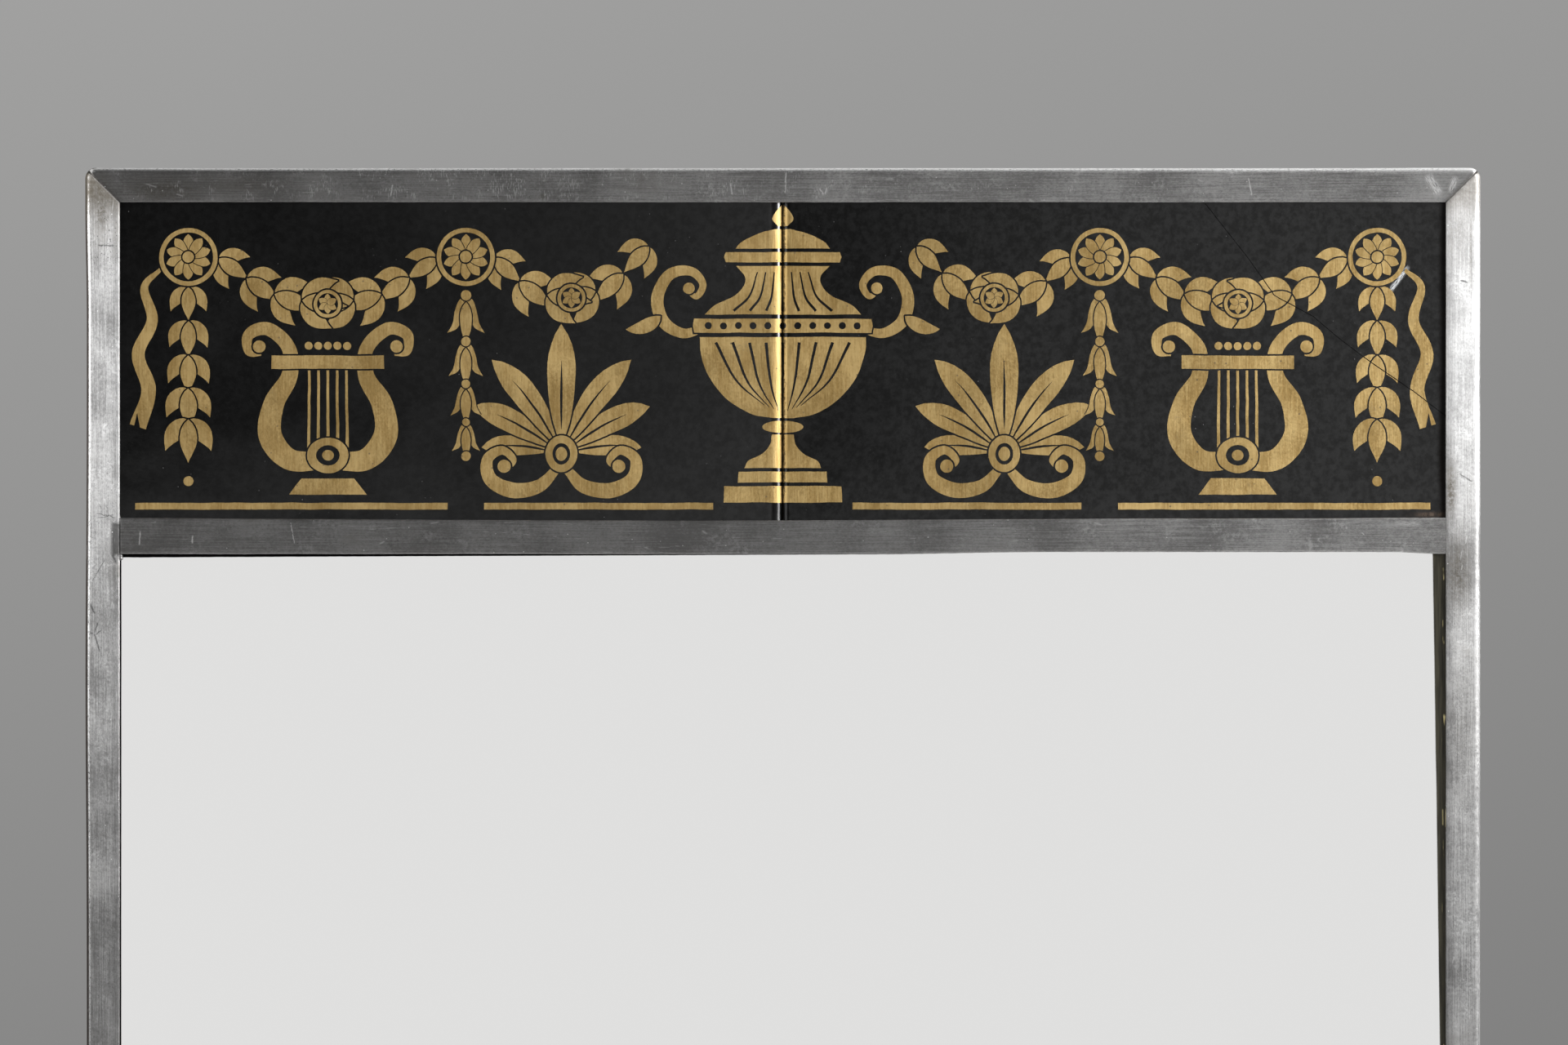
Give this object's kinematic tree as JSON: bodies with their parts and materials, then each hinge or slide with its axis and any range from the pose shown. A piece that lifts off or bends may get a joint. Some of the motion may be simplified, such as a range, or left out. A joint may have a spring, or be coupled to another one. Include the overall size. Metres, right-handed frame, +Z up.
{
  "type": "neoclassical wall mirror",
  "caption": "Tall framed wall mirror with a gilded black glass panel across the top, a halved timber back and ring hangers let into its side bars.",
  "frame": {"origin": "on the wall plane and the centre line, at the height of the two ring hangers' pivots", "axes": "+X to the right as seen from the front, +Y back to the wall, +Z up"},
  "size_m": [0.46, 0.02, 0.92],
  "materials": {
    "pewter": "brushed, lightly scratched and tarnished",
    "solder": "dull tinned",
    "black_glass": "polished, slightly mottled",
    "gold_leaf": "matte brushed gilding",
    "mirror_glass": "silvered, worn at one edge",
    "backing": "plain",
    "timber": "planed pine, aged",
    "back_board": "thin board, aged",
    "hardwood": "cut end grain",
    "brass": "aged",
    "steel": "dull"
  },
  "bodies": {
    "mirror_body": {"left_stile_moulding": "pewter", "right_stile_moulding": "pewter", "top_rail_moulding": "pewter", "bottom_rail_moulding": "pewter", "transom_bar": "pewter", "corner_solder": "solder", "moulding_pins": "steel", "left_black_pane": "black_glass", "right_black_pane": "black_glass", "mirror_plate": "mirror_glass", "pane_backing_sheet": "backing", "mirror_backing_sheet": "backing", "pane_setting_slips": "hardwood", "mirror_setting_slips": "hardwood", "left_timber_stile": "timber", "right_timber_stile": "timber", "top_timber_rail": "timber", "middle_timber_rail": "timber", "bottom_timber_rail": "timber", "lap_dowels": "hardwood", "upper_back_board": "back_board", "lower_back_board": "back_board", "upper_board_screws": "steel", "lower_board_screws": "steel", "left_hanger_strap": "brass", "right_hanger_strap": "brass", "left_hanger_screws": "steel", "right_hanger_screws": "steel"},
    "left_ring": {"left_hanger_ring": "brass"},
    "right_ring": {"right_hanger_ring": "brass"}
  },
  "joints": [
    {"name": "left_ring_swing", "type": "hinge", "parent": "mirror_body", "child": "left_ring", "pos_m": [-0.2127, -0.00274, 0], "axis": [1, 0, 0], "range_deg": [0, 178]},
    {"name": "right_ring_swing", "type": "hinge", "parent": "mirror_body", "child": "right_ring", "pos_m": [0.2127, -0.00274, 0], "axis": [1, 0, 0], "range_deg": [0, 178]}
  ]
}
